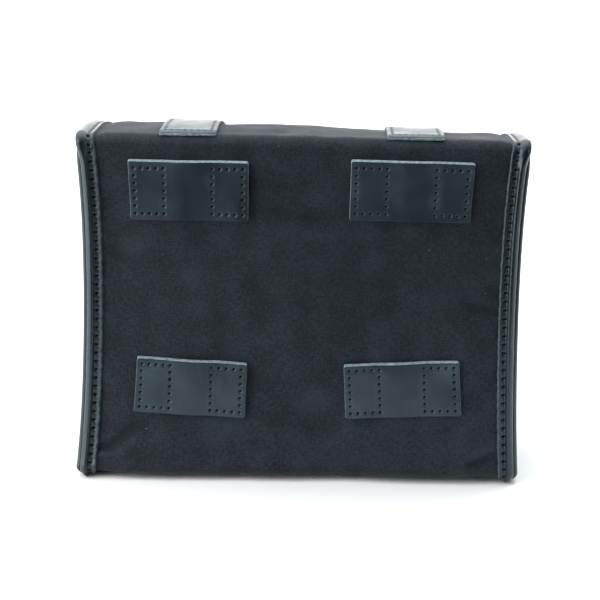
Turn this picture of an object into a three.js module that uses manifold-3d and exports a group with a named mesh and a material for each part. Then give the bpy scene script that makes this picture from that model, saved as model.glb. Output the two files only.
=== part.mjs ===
// Small pannier bag: waxed canvas wrapped round two leather side panels, a canvas lid hinged on
// its top back fold, four leather rack loops on the back, and two lid straps whose buckled
// tongues close on magnetic snaps at the front.
// Millimetres, +Z up. X is the bag's width, -Y faces the rack, +Y is the buckle side, and the
// origin is under the middle of the bag's outline. "Left" is -X, "right" is +X.
import * as THREE from 'three';
import { mergeVertices } from 'three/addons/utils/BufferGeometryUtils.js';
import Module from 'manifold-3d';

const wasm = await Module();
wasm.setup();

// ---------- driving dimensions ----------
const GAP = 0.3; // clearance left between pieces that touch
const LEATHER = 2.2; // side panels and lid edges
const CANVAS = 2.0; // waxed canvas with its backing
const STRAP_THICK = 2.4;

const HALF_WIDTH = 137.5; // outer face of each side panel
const BODY_DEPTH = 112;
const BACK_HEIGHT = 217.5; // mouth plane at the back
const FRONT_HEIGHT = 201.5; // mouth plane at the front, so that the lid falls away
const BOTTOM_RADIUS = 16;
const MOUTH_RADIUS = 9; // rounded top front corner of the side panels
const FLANGE = 12.5; // leather turned over onto the canvas along every edge
const BEAD = 3; // rounding of the turned edge

const BOARD_THICK = 2;
const BASE_THICK = 2.5;
const LINING_THICK = 1;
const LINING_TOP_BACK = 210;
const LINING_TOP_FRONT = 190;

const LID_CLEARANCE = 0.6; // lid canvas over the side panels
const LID_DROP = 12; // depth of the leather ear on the lid's side edges
const FLAP_BOTTOM = 95; // lower edge of the lid's front flap
const BINDING_THICK = 1.1;
const BINDING_DEPTH = 12;

const LOOP_LENGTH = 71;
const LOOP_HEIGHT = 34.5;
const LOOP_THICK = 2.4;
const LOOP_CLEAR = 4.9; // strap room under the arched middle of a loop
const LOOP_TUNNEL = 31; // between the two stitched ends of a loop
const LOOP_RAMP = 4.5; // length of each sloping shoulder
const LOOPS = [
  { name: 'rack_loop_upper_left', x: -68.5, z: 187, tilt: 0.2 },
  { name: 'rack_loop_upper_right', x: 67, z: 189, tilt: -0.6 },
  { name: 'rack_loop_lower_left', x: -67.5, z: 61.5, tilt: -2 },
  { name: 'rack_loop_lower_right', x: 65.5, z: 63, tilt: 3 },
];

const STRAP_X = 69; // middle of each lid strap, either side of the centre
const STRAP_WIDTH = 34;
const STRAP_END_WIDTH = 25; // where the strap reaches its buckle
const STRAP_START = 2.5; // strap end in front of the top back fold
const TAPER_TOP = 170;
const TAPER_BOTTOM = 150;

const BAR_RADIUS = 1.7;
const ROLLER_BAR_RADIUS = 1.3;
const ROLLER_RADIUS = 2.6;
const ROLLER_BORE = 1.6;
const ROLLER_LENGTH = 25.2;
const EYE_RADIUS = 4.4; // strap end sewn round the buckle's bar
const EYE_BORE = 2.1;
const BUCKLE_TOP = 112; // height of the bar in the strap's eye
const BUCKLE_LENGTH = 28;
const BUCKLE_RAIL = 15; // side rails, from the strap's middle
const PRONG_WIDTH = 3;
const PRONG_SLOT = 4.2;
const TONGUE_THICK = 2.3;
const TONGUE_TOP = 152;
const TONGUE_SPLIT = 80.8; // fold line under the roller where the tongue swings
const TONGUE_BOTTOM = 48;
const KEEPER_Z = 138;
const KEEPER_HEIGHT = 9;
const KEEPER_FOOT = 5;
const KEEPER_THICK = 1.6;
const SNAP_Z = 62;
const SNAP_RADIUS = 7;
const SNAP_THICK = 1.8;
const SNAP_POST = 1.6;
const SNAP_HEAD = 5.5;

// ---------- derived places ----------
const OUTER_BACK = -BODY_DEPTH / 2;
const OUTER_FRONT = BODY_DEPTH / 2;
const CANVAS_INSET = LEATHER + GAP;
const CANVAS_BACK = OUTER_BACK + CANVAS_INSET;
const CANVAS_FRONT = OUTER_FRONT - CANVAS_INSET;
const PLATE_INNER = HALF_WIDTH - LEATHER;
const LID_OUTER = LID_CLEARANCE + CANVAS; // lid canvas face, outside the body's profile
const LID_FRONT = OUTER_FRONT + LID_OUTER;
const STRAP_FRONT = LID_FRONT + GAP + STRAP_THICK;
const BAR_Y = LID_FRONT + GAP + EYE_RADIUS;
const ROLLER_Z = BUCKLE_TOP - BUCKLE_LENGTH;
const TONGUE_BACK = BAR_Y - ROLLER_RADIUS - GAP - TONGUE_THICK;
const TONGUE_OVER_BAR = BAR_Y + EYE_RADIUS + GAP;
const LOOP_BACK = CANVAS_BACK - LOOP_CLEAR - LOOP_THICK;
const TONGUE_FRONT = TONGUE_OVER_BAR + TONGUE_THICK;
const SHIFT_Y = -(TONGUE_FRONT + LOOP_BACK) / 2; // puts the origin under the middle

// ---------- geometry helpers ----------
const v2 = (a, b) => new THREE.Vector2(a, b);

// Path through corners [a, b, radius], each corner rounded by an arc of `steps` chords.
function roundedPath(corners, steps = 5) {
  const path = [];
  corners.forEach(([a, b, radius = 0], i) => {
    const here = v2(a, b);
    const before = corners[i - 1];
    const after = corners[i + 1];
    if (!radius || !before || !after) {
      path.push(here);
      return;
    }
    const back = v2(before[0], before[1]).sub(here).normalize();
    const on = v2(after[0], after[1]).sub(here).normalize();
    const half = Math.acos(THREE.MathUtils.clamp(back.dot(on), -1, 1)) / 2;
    const reach = radius / Math.tan(half);
    const middle = back.clone().add(on).normalize();
    const centre = middle.multiplyScalar(radius / Math.sin(half)).add(here);
    const from = here.clone().addScaledVector(back, reach).sub(centre);
    const to = here.clone().addScaledVector(on, reach).sub(centre);
    const sweep = Math.atan2(from.cross(to), from.dot(to));
    for (let k = 0; k <= steps; k += 1) {
      path.push(from.clone().rotateAround(v2(0, 0), (sweep * k) / steps).add(centre));
    }
  });
  return path;
}

// The same path moved sideways; positive goes to the right of its direction of travel.
function offsetPath(path, distance) {
  return path.map((point, i) => {
    const arrive = point.clone().sub(path[Math.max(i - 1, 0)]);
    const leave = path[Math.min(i + 1, path.length - 1)].clone().sub(point);
    if (arrive.length() === 0) arrive.copy(leave);
    if (leave.length() === 0) leave.copy(arrive);
    const n1 = v2(arrive.y, -arrive.x).normalize();
    const n2 = v2(leave.y, -leave.x).normalize();
    const mitre = n1.clone().add(n2).normalize();
    return point.clone().addScaledVector(mitre, distance / mitre.dot(n1));
  });
}

// Strip of material between two sideways offsets of a path.
function stripShape(path, from, to) {
  return new THREE.Shape([...offsetPath(path, from), ...offsetPath(path, to).reverse()]);
}

const TO_X = new THREE.Matrix4().makeBasis(
  new THREE.Vector3(0, 1, 0),
  new THREE.Vector3(0, 0, 1),
  new THREE.Vector3(1, 0, 0),
);
const TO_Y = new THREE.Matrix4().makeBasis(
  new THREE.Vector3(1, 0, 0),
  new THREE.Vector3(0, 0, 1),
  new THREE.Vector3(0, -1, 0),
);

// A (Y, Z) outline swept from x0 to x1.
function alongX(shape, x0, x1, bevel = 0) {
  const geometry = new THREE.ExtrudeGeometry(shape, {
    depth: x1 - x0 - 2 * bevel,
    curveSegments: 8,
    bevelEnabled: bevel > 0,
    bevelSize: bevel,
    bevelThickness: bevel,
    bevelOffset: -bevel,
    bevelSegments: 3,
  });
  return geometry.translate(0, 0, x0 + bevel).applyMatrix4(TO_X);
}

// An (X, Z) outline swept from y0 to y1.
function alongY(shape, y0, y1) {
  const geometry = new THREE.ExtrudeGeometry(shape, { depth: y1 - y0, bevelEnabled: false });
  return geometry.translate(0, 0, -y1).applyMatrix4(TO_Y);
}

function box(low, high) {
  const size = high.map((value, i) => value - low[i]);
  const middle = high.map((value, i) => (value + low[i]) / 2);
  return new THREE.BoxGeometry(...size).translate(...middle);
}

// An (X, Y) outline swept from z0 to z1.
function alongZ(shape, z0, z1) {
  const geometry = new THREE.ExtrudeGeometry(shape, { depth: z1 - z0, bevelEnabled: false });
  return geometry.translate(0, 0, z0);
}

function ring(radius, bore) {
  const shape = new THREE.Shape();
  shape.absarc(0, 0, radius, 0, 2 * Math.PI);
  const hole = new THREE.Path();
  hole.absarc(0, 0, bore, 0, 2 * Math.PI);
  shape.holes.push(hole);
  return shape;
}

function rodX(x0, x1, y, z, radius) {
  const rod = new THREE.CylinderGeometry(radius, radius, x1 - x0, 16).rotateZ(Math.PI / 2);
  return rod.translate((x0 + x1) / 2, y, z);
}

function toSolid(geometry) {
  const bare = geometry.clone();
  bare.deleteAttribute('normal');
  bare.deleteAttribute('uv');
  const merged = mergeVertices(bare, 1e-4);
  const vertProperties = new Float32Array(merged.attributes.position.array);
  const triVerts = new Uint32Array(merged.index.array);
  return new wasm.Manifold(new wasm.Mesh({ numProp: 3, vertProperties, triVerts }));
}

function toGeometry(solid) {
  const mesh = solid.getMesh();
  const geometry = new THREE.BufferGeometry();
  geometry.setAttribute('position', new THREE.BufferAttribute(mesh.vertProperties, 3));
  geometry.setIndex(new THREE.BufferAttribute(mesh.triVerts, 1));
  geometry.computeVertexNormals();
  return geometry;
}

const join = (first, ...rest) => (
  toGeometry(rest.reduce((sum, next) => sum.add(toSolid(next)), toSolid(first)))
);
const cut = (first, ...rest) => (
  toGeometry(rest.reduce((left, next) => left.subtract(toSolid(next)), toSolid(first)))
);
const overlap = (a, b) => toGeometry(toSolid(a).intersect(toSolid(b)));

// ---------- materials ----------
const leather = (color) => () => (
  new THREE.MeshStandardMaterial({ color, roughness: 0.5, metalness: 0 })
);
const blackLeather = leather(0x2b3236);
const greyLeather = leather(0x39444a);
const cloth = () => new THREE.MeshStandardMaterial({ color: 0x24292e, roughness: 0.85 });
const board = () => new THREE.MeshStandardMaterial({ color: 0x303030, roughness: 0.7 });
const lining = () => new THREE.MeshStandardMaterial({ color: 0x4a4f52, roughness: 0.9 });
const brass = () => new THREE.MeshStandardMaterial({
  color: 0x8f8a80, roughness: 0.3, metalness: 1,
});

const group = new THREE.Group();
group.position.y = SHIFT_Y;
function add(name, geometry, material) {
  const mesh = new THREE.Mesh(toGeometry(toSolid(geometry)), material());
  mesh.name = name;
  group.add(mesh);
  return mesh;
}

// ---------- side profile of the bag, as (Y, Z) ----------
// From the top back corner down the back, under the base and up the front.
const bodyPath = roundedPath([
  [OUTER_BACK, BACK_HEIGHT],
  [OUTER_BACK, 0, BOTTOM_RADIUS],
  [OUTER_FRONT, 0, BOTTOM_RADIUS],
  [OUTER_FRONT, FRONT_HEIGHT, MOUTH_RADIUS],
  [OUTER_BACK, BACK_HEIGHT],
]);

// The same wall with an open top, ending at a given height at the back and front.
const wallPath = (top) => roundedPath([
  [OUTER_BACK, top],
  [OUTER_BACK, 0, BOTTOM_RADIUS],
  [OUTER_FRONT, 0, BOTTOM_RADIUS],
  [OUTER_FRONT, top],
]);

// ---------- side panels: leather trays turned over onto the canvas ----------
// open at the top: no flange crosses the mouth
function sidePanel(side) {
  const outline = new THREE.Shape(bodyPath);
  const block = alongX(outline, HALF_WIDTH - 2 * FLANGE, HALF_WIDTH, BEAD);
  const inner = new THREE.Shape(offsetPath(wallPath(2 * BACK_HEIGHT), -LEATHER));
  const hollow = alongX(inner, HALF_WIDTH - 3 * FLANGE, PLATE_INNER);
  const reach = 2 * BACK_HEIGHT;
  const spare = box([0, -reach, -reach], [HALF_WIDTH - FLANGE, reach, reach]);
  const panel = cut(block, hollow, spare);
  return side > 0 ? panel : mirrorX(panel);
}

function mirrorX(geometry) {
  const mirrored = geometry.clone().scale(-1, 1, 1);
  const index = mirrored.index.array;
  for (let i = 0; i < index.length; i += 3) {
    [index[i], index[i + 1]] = [index[i + 1], index[i]];
  }
  mirrored.computeVertexNormals();
  return mirrored;
}

add('side_panel_left', sidePanel(-1), blackLeather);
add('side_panel_right', sidePanel(1), blackLeather);

// ---------- canvas body: back, base and front in one piece ----------
const canvasHalf = PLATE_INNER - 2 * GAP;
const canvasTop = BACK_HEIGHT - 1; // just under the sloping lid
const canvasShape = stripShape(wallPath(canvasTop), -CANVAS_INSET, -CANVAS_INSET - CANVAS);
const canvasWall = alongX(canvasShape, -canvasHalf, canvasHalf);
const aboveFront = box([-HALF_WIDTH, 0, LINING_TOP_FRONT], [HALF_WIDTH, OUTER_FRONT, 300]);
add('canvas_body', cut(canvasWall, aboveFront), cloth);

// ---------- stiffening boards and lining ----------
const canvasInner = CANVAS_INSET + CANVAS;
const backBoardFront = OUTER_BACK + canvasInner + GAP + BOARD_THICK;
add('back_board', box(
  [-canvasHalf + 2, backBoardFront - BOARD_THICK, BOTTOM_RADIUS + 1],
  [canvasHalf - 2, backBoardFront, LINING_TOP_BACK],
), board);

const baseBottom = canvasInner + GAP;
const baseHalfDepth = OUTER_FRONT - BOTTOM_RADIUS + 1;
add('base_board', box(
  [-canvasHalf + 2, -baseHalfDepth, baseBottom],
  [canvasHalf - 2, baseHalfDepth, baseBottom + BASE_THICK],
), board);

const liningBack = backBoardFront + GAP;
const liningFront = OUTER_FRONT - canvasInner - GAP;
const liningBottom = baseBottom + BASE_THICK + GAP;
const liningPath = roundedPath([
  [liningBack, LINING_TOP_BACK],
  [liningBack, liningBottom, BOTTOM_RADIUS - 6],
  [liningFront, liningBottom, BOTTOM_RADIUS - 6],
  [liningFront, LINING_TOP_FRONT],
]);
const liningHalf = PLATE_INNER - GAP;
const liningHollow = offsetPath(liningPath, -LINING_THICK);
liningHollow[0].y += 20;
liningHollow[liningHollow.length - 1].y += 20;
add('lining', cut(
  alongX(new THREE.Shape(liningPath), -liningHalf, liningHalf),
  alongX(new THREE.Shape(liningHollow), LINING_THICK - liningHalf, liningHalf - LINING_THICK),
), lining);

// ---------- binding over the front edge of the mouth ----------
const bindingHalf = HALF_WIDTH - FLANGE - 2 * GAP;
// U-shaped binding whose closed edge faces up (1) or down (-1)
function channel(back, front, edge, up) {
  const end = edge - up * BINDING_DEPTH;
  const corners = [[back, end], [back, edge], [front, edge], [front, end]];
  return stripShape(corners.map(([a, b]) => v2(a, b)), 0, -up * BINDING_THICK);
}
const mouthInner = liningFront - LINING_THICK - GAP;
const mouthOuter = CANVAS_FRONT + GAP;
const mouthEdge = LINING_TOP_FRONT + GAP;
const mouthShape = channel(mouthInner, mouthOuter, mouthEdge, 1);
add('mouth_binding', alongX(mouthShape, -bindingHalf, bindingHalf), blackLeather);

// ---------- lid ----------
const lidPath = roundedPath([
  [OUTER_BACK, BACK_HEIGHT],
  [OUTER_FRONT, FRONT_HEIGHT, MOUTH_RADIUS],
  [OUTER_FRONT, FLAP_BOTTOM],
]);
const lidTo = (from, to) => stripShape(lidPath, -from, -to);
const lidHalf = HALF_WIDTH - GAP;
const edgeFrom = LID_OUTER + GAP;
const edgeTo = edgeFrom + LEATHER;
add('lid_canvas', alongX(lidTo(LID_CLEARANCE, LID_OUTER), -lidHalf, lidHalf), cloth);

// leather angle along each side of the lid: a band on top and an ear outside the side panel
function lidEdge(side) {
  const earInner = HALF_WIDTH + LID_CLEARANCE;
  const earOuter = earInner + LEATHER;
  const band = alongX(lidTo(edgeFrom, edgeTo), HALF_WIDTH - FLANGE, earOuter);
  const ear = alongX(lidTo(edgeTo - LID_DROP, edgeTo), earInner, earOuter);
  const edge = join(band, ear);
  return side > 0 ? edge : mirrorX(edge);
}
add('lid_edge_left', lidEdge(-1), blackLeather);
add('lid_edge_right', lidEdge(1), blackLeather);

const flapBack = OUTER_FRONT + LID_CLEARANCE - GAP;
const flapShape = channel(flapBack, LID_FRONT + GAP, FLAP_BOTTOM - GAP, -1);
add('lid_binding', alongX(flapShape, -bindingHalf, bindingHalf), blackLeather);

// ---------- rack loops ----------
// strip that lies flat at both ends and arches away from the canvas in the middle
function rackLoop() {
  const foot = CANVAS_BACK - GAP;
  const crown = CANVAS_BACK - LOOP_CLEAR;
  const half = LOOP_TUNNEL / 2;
  const path = [
    v2(-LOOP_LENGTH / 2, foot),
    v2(-half, foot),
    v2(LOOP_RAMP - half, crown),
    v2(half - LOOP_RAMP, crown),
    v2(half, foot),
    v2(LOOP_LENGTH / 2, foot),
  ];
  return alongZ(stripShape(path, 0, LOOP_THICK), -LOOP_HEIGHT / 2, LOOP_HEIGHT / 2);
}
LOOPS.forEach(({ name, x, z, tilt }) => {
  const loop = add(name, rackLoop(), greyLeather);
  loop.position.set(x, 0, z);
  loop.rotation.y = -THREE.MathUtils.degToRad(tilt);
});

// ---------- lid straps, each ending in an eye round its buckle's bar ----------
function lidStrap() {
  const slope = (FRONT_HEIGHT - BACK_HEIGHT) / BODY_DEPTH;
  const path = roundedPath([
    [OUTER_BACK + STRAP_START, BACK_HEIGHT + slope * STRAP_START],
    [OUTER_FRONT, FRONT_HEIGHT, MOUTH_RADIUS],
    [OUTER_FRONT, BUCKLE_TOP],
  ]);
  const strip = stripShape(path, -edgeFrom, -edgeFrom - STRAP_THICK);
  const eye = ring(EYE_RADIUS, EYE_BORE);
  const whole = join(
    alongX(strip, -STRAP_WIDTH / 2, STRAP_WIDTH / 2),
    alongX(eye, -STRAP_END_WIDTH / 2, STRAP_END_WIDTH / 2).translate(0, BAR_Y, BUCKLE_TOP),
  );
  const wide = STRAP_WIDTH / 2;
  const narrow = STRAP_END_WIDTH / 2;
  const outline = new THREE.Shape([
    v2(-wide, 2 * BACK_HEIGHT), v2(-wide, TAPER_TOP), v2(-narrow, TAPER_BOTTOM), v2(-narrow, 0),
    v2(narrow, 0), v2(narrow, TAPER_BOTTOM), v2(wide, TAPER_TOP), v2(wide, 2 * BACK_HEIGHT),
  ]);
  const trimmed = overlap(whole, alongY(outline, -BODY_DEPTH, BODY_DEPTH));
  // the bore is cut again, because the straight run passes beside it
  const bore = rodX(-STRAP_WIDTH, STRAP_WIDTH, BAR_Y, BUCKLE_TOP, EYE_BORE);
  const reach = EYE_RADIUS + 1;
  const slot = box(
    [-PRONG_SLOT / 2, LID_FRONT, BUCKLE_TOP - reach],
    [PRONG_SLOT / 2, BAR_Y + reach, BUCKLE_TOP + reach],
  );
  return cut(trimmed, bore, slot);
}

// ---------- roller buckle ----------
function buckleFrame() {
  const low = [BAR_Y, ROLLER_Z];
  const high = [BAR_Y, BUCKLE_TOP];
  const rail = BUCKLE_RAIL;
  const upright = (x) => (
    new THREE.CylinderGeometry(BAR_RADIUS, BAR_RADIUS, BUCKLE_LENGTH, 16)
      .rotateX(Math.PI / 2)
      .translate(x, BAR_Y, (ROLLER_Z + BUCKLE_TOP) / 2)
  );
  const corner = (x, [y, z]) => new THREE.SphereGeometry(BAR_RADIUS, 16, 8).translate(x, y, z);
  return join(
    rodX(-rail, rail, ...high, BAR_RADIUS),
    rodX(-rail, rail, ...low, ROLLER_BAR_RADIUS),
    upright(-rail), upright(rail),
    corner(-rail, low), corner(rail, low), corner(-rail, high), corner(rail, high),
  );
}

function buckleProng() {
  const half = PRONG_WIDTH / 2;
  const armThick = 2.2;
  const armBack = BAR_Y + EYE_BORE; // clear of the bar at its root
  const tipBack = BAR_Y + ROLLER_RADIUS + GAP;
  const path = [v2(armBack, BUCKLE_TOP - 0.5), v2(tipBack, ROLLER_Z), v2(tipBack, ROLLER_Z - 2.5)];
  const arm = alongX(stripShape(path, 0, -armThick), -half, half);
  const loop = alongX(ring(EYE_RADIUS - 0.8, EYE_BORE), -half, half);
  return join(loop.translate(0, BAR_Y, BUCKLE_TOP), arm);
}

const buckleRoller = () => (
  alongX(ring(ROLLER_RADIUS, ROLLER_BORE), -ROLLER_LENGTH / 2, ROLLER_LENGTH / 2)
    .translate(0, BAR_Y, ROLLER_Z)
);

// ---------- tongue: behind the roller, out over the bar and back onto the strap ----------
function tongueEnd() {
  const rest = STRAP_FRONT + GAP;
  const path = roundedPath([
    [TONGUE_BACK, TONGUE_SPLIT + GAP],
    [TONGUE_BACK, ROLLER_Z + 2, 6],
    [TONGUE_OVER_BAR, BUCKLE_TOP - 4, 8],
    [TONGUE_OVER_BAR, BUCKLE_TOP + 4, 8],
    [rest, BUCKLE_TOP + 18, 8],
    [rest, TONGUE_TOP],
  ]);
  const half = STRAP_END_WIDTH / 2;
  const strip = alongX(stripShape(path, 0, TONGUE_THICK), -half, half);
  const hole = box(
    [-PRONG_SLOT / 2, TONGUE_BACK, ROLLER_Z + 9],
    [PRONG_SLOT / 2, TONGUE_OVER_BAR + TONGUE_THICK, BUCKLE_TOP - 1],
  );
  return cut(strip, hole);
}

function tongueTab() {
  const half = STRAP_END_WIDTH / 2;
  const outline = new THREE.Shape();
  outline.moveTo(half, TONGUE_SPLIT - GAP);
  outline.lineTo(-half, TONGUE_SPLIT - GAP);
  outline.lineTo(-half, TONGUE_BOTTOM + half);
  outline.absarc(0, TONGUE_BOTTOM + half, half, Math.PI, 2 * Math.PI);
  const hole = new THREE.Path();
  hole.absarc(0, SNAP_Z, SNAP_POST + GAP, 0, 2 * Math.PI);
  outline.holes.push(hole);
  return alongY(outline, TONGUE_BACK, TONGUE_BACK + TONGUE_THICK);
}

// ---------- keeper: a flat leather bridge over the strap and the tongue's end ----------
function keeper() {
  const inner = STRAP_END_WIDTH / 2 + 2 * GAP;
  const foot = LID_FRONT + GAP;
  const crown = STRAP_FRONT + TONGUE_THICK + 2 * GAP;
  const reach = inner + KEEPER_THICK + KEEPER_FOOT;
  const path = [
    v2(-reach, foot), v2(-inner, foot), v2(-inner, crown),
    v2(inner, crown), v2(inner, foot), v2(reach, foot),
  ];
  const bridge = stripShape(path, 0, -KEEPER_THICK);
  return alongZ(bridge, KEEPER_Z - KEEPER_HEIGHT / 2, KEEPER_Z + KEEPER_HEIGHT / 2);
}

// ---------- magnetic snap ----------
const snapFace = CANVAS_FRONT + GAP + SNAP_THICK; // where the two halves meet
function turned(profile) {
  return new THREE.LatheGeometry(profile.map(([r, y]) => v2(r, y)), 24);
}
const snapBase = () => turned([
  [0, snapFace - SNAP_THICK],
  [SNAP_RADIUS, snapFace - SNAP_THICK],
  [SNAP_RADIUS, snapFace - 0.5],
  [SNAP_RADIUS - 0.5, snapFace],
  [0, snapFace],
]).translate(0, 0, SNAP_Z);
const headBack = TONGUE_BACK + TONGUE_THICK + GAP;
const snapCap = () => turned([
  [0, snapFace + GAP],
  [SNAP_RADIUS, snapFace + GAP],
  [SNAP_RADIUS, TONGUE_BACK - GAP],
  [SNAP_POST, TONGUE_BACK - GAP],
  [SNAP_POST, headBack],
  [SNAP_HEAD, headBack],
  [SNAP_HEAD - 1, headBack + 1.1],
  [SNAP_HEAD - 3, headBack + 1.6],
  [0, headBack + 1.8],
]).translate(0, 0, SNAP_Z);

[['left', -STRAP_X], ['right', STRAP_X]].forEach(([side, x]) => {
  const place = (name, geometry, material) => {
    add(`${name}_${side}`, geometry, material).position.x = x;
  };
  place('strap', lidStrap(), greyLeather);
  place('buckle_frame', buckleFrame(), brass);
  place('buckle_prong', buckleProng(), brass);
  place('buckle_roller', buckleRoller(), brass);
  place('tongue_end', tongueEnd(), greyLeather);
  place('tongue', tongueTab(), greyLeather);
  place('keeper', keeper(), greyLeather);
  place('snap_cap', snapCap(), brass);
  place('snap_base', snapBase(), brass);
});

export default group;
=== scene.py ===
"""Pannier bag: the looks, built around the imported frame.

Lengths are in millimetres in the frame's own axes until a mesh is made, which turns them into
metres. The soft pieces are first placed on the bag's ideal profile and then moved by one
function, soften(), so that cloth, leather and stitches sag together.
"""
import math

import bmesh
import bpy
import numpy as np
from mathutils import Matrix, Vector


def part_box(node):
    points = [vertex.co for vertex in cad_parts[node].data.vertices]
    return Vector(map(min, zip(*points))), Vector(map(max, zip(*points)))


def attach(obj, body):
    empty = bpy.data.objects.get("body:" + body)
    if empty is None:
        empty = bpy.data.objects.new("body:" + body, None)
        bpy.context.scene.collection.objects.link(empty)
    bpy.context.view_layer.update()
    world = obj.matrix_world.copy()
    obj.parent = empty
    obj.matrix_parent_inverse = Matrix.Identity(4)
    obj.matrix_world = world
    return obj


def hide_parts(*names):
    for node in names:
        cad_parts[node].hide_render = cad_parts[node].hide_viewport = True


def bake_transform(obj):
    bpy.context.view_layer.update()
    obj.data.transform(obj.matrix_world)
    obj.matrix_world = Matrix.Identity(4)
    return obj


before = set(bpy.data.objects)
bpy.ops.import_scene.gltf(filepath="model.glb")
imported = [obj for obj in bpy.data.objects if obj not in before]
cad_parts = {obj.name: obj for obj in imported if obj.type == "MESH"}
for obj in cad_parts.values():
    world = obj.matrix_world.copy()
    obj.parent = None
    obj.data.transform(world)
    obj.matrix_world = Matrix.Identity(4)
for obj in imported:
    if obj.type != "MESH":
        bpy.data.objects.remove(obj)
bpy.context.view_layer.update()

MM = 0.001
SIDES = {"left": -1, "right": 1}


def span(node):
    """Lowest and highest corner of a CAD node, in millimetres."""
    low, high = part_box(node)
    return np.array(low) / MM, np.array(high) / MM


# ---------- places taken from the frame ----------
panel_low, panel_high = span("side_panel_right")
canvas_low, canvas_high = span("canvas_body")
lid_low, lid_high = span("lid_canvas")

BACK = canvas_low[1]  # outer face of the canvas back
FRONT = canvas_high[1]
FLOOR_GAP = canvas_low[2]
FLAP_FRONT = lid_high[1]
FLAP_BOTTOM = lid_low[2]
CUT_EDGE = panel_low[0]  # inner cut edge of the leather bands
HALF_WIDTH = panel_high[0]
LID_TOP = lid_high[2]
LID_SLOPE = 16 / 112  # the lid falls 16 mm over the body's depth
MOUTH_BACK = panel_high[2]
frame_low, frame_high = span("buckle_frame_right")
STRAP_X = (frame_low[0] + frame_high[0]) / 2

# ---------- camera ----------
YAW, PITCH, ROLL = (math.radians(a) for a in (1.3, 15.0, 0.9))
DISTANCE = 920 * MM
LENS = 89.2
AIM_HEIGHT = 117
AIM = Vector((0, panel_low[1], AIM_HEIGHT)) * MM
AIM_OFFSET = (-0.0018, 0.0051)  # where the aim falls, right of and below the middle, in frame widths


def add_camera():
    """Looks a little down on the back of the bag, turned and tilted as the photo is."""
    camera = bpy.data.objects.new("camera", bpy.data.cameras.new("camera"))
    bpy.context.scene.collection.objects.link(camera)
    bpy.context.scene.camera = camera
    camera.data.lens = LENS
    forward = Vector((-math.sin(YAW) * math.cos(PITCH), math.cos(YAW) * math.cos(PITCH),
                      -math.sin(PITCH)))
    level = Vector((math.cos(YAW), math.sin(YAW), 0))
    down = forward.cross(level)
    right = level * math.cos(ROLL) - down * math.sin(ROLL)
    down = level * math.sin(ROLL) + down * math.cos(ROLL)
    focal = LENS / camera.data.sensor_width
    ray = forward + right * (AIM_OFFSET[0] / focal) + down * (AIM_OFFSET[1] / focal)
    place = Matrix((right, -down, -forward)).transposed().to_4x4()
    place.translation = AIM - ray * DISTANCE
    camera.matrix_world = place


add_camera()


# ---------- lights and background ----------
ROOM = 0.05  # brightness of the room behind the camera
PAPER = 1.42  # brightness of the paper behind and over the bag
PAPER_TINT = (0.95, 0.985, 1.0, 1)
TOWARDS_PAPER = (-0.42, 0.66, 0.62)


def add_node(tree, kind, inputs=(), out=0, **settings):
    """Adds a shader node, fills or links its inputs and returns one of its outputs."""
    made = tree.nodes.new("ShaderNode" + kind)
    for key, value in settings.items():
        setattr(made, key, value)
    for key, value in dict(inputs).items():
        if isinstance(value, bpy.types.NodeSocket):
            tree.links.new(value, made.inputs[key])
        else:
            made.inputs[key].default_value = value
    return made.outputs[out]


def add_area_light(name, place, aim, size, power):
    light = bpy.data.lights.new(name, "AREA")
    light.shape = "RECTANGLE"
    light.size, light.size_y = size
    light.energy = power
    lamp = bpy.data.objects.new(name, light)
    bpy.context.scene.collection.objects.link(lamp)
    lamp.location = place
    direction = Vector(aim) - Vector(place)
    lamp.rotation_euler = direction.to_track_quat("-Z", "Y").to_euler()
    lamp.visible_camera = False


def add_world():
    """White paper behind the bag, a dim room behind the camera, and plain white to look at."""
    world = bpy.data.worlds.new("studio")
    world.use_nodes = True
    tree = world.node_tree
    direction = add_node(tree, "TexCoord", out="Generated")
    facing = add_node(tree, "VectorMath", {0: direction, 1: TOWARDS_PAPER}, "Value",
                      operation="DOT_PRODUCT")
    level = add_node(tree, "MapRange", {"Value": facing, "From Min": -0.2, "From Max": 0.3,
                                        "To Min": ROOM, "To Max": PAPER}, "Result")
    camera_ray = add_node(tree, "LightPath", out="Is Camera Ray")
    seen = add_node(tree, "Math", {0: camera_ray, 1: PAPER}, operation="MULTIPLY")
    strength = add_node(tree, "Math", {0: level, 1: seen}, operation="MAXIMUM")
    background = tree.nodes["Background"]
    background.inputs["Color"].default_value = PAPER_TINT
    tree.links.new(strength, background.inputs["Strength"])
    bpy.context.scene.world = world


def add_studio():
    add_world()
    bpy.context.scene.view_settings.view_transform = "Standard"
    middle = (0, 0, 0.1)
    add_area_light("overhead", (-0.1, 0.35, 1.35), middle, (1.8, 1.2), 16)
    add_area_light("left_window", (-1.0, -0.55, 0.45), middle, (1.2, 1.2), 16)
    add_area_light("right_fill", (1.3, -0.9, 0.6), middle, (0.3, 0.9), 3.5)
    add_area_light("lit_backdrop", (0, 1.5, 0.5), middle, (2.6, 0.7), 10)


add_studio()


# ---------- numbers ----------
def smooth(t):
    t = np.clip(t, 0, 1)
    return t * t * (3 - 2 * t)


def gauss(t):
    return np.exp(-t * t)


def points(x, y, z):
    return np.stack(np.broadcast_arrays(x, y, z), -1)


class Ripples:
    """A smooth uneven surface: a sum of waves of random direction and phase."""

    def __init__(self, seed, shortest, longest, count=14):
        draw = np.random.default_rng(seed)
        angle = draw.uniform(0, 2 * np.pi, count)
        number = 2 * np.pi / draw.uniform(shortest, longest, count)
        self.waves = np.stack([np.cos(angle) * number, np.sin(angle) * number])
        self.phase = draw.uniform(0, 2 * np.pi, count)
        self.scale = math.sqrt(2 / count)

    def __call__(self, a, b):
        total = np.asarray(a)[..., None] * self.waves[0] + np.asarray(b)[..., None] * self.waves[1]
        return np.sin(total + self.phase).sum(-1) * self.scale


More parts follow.
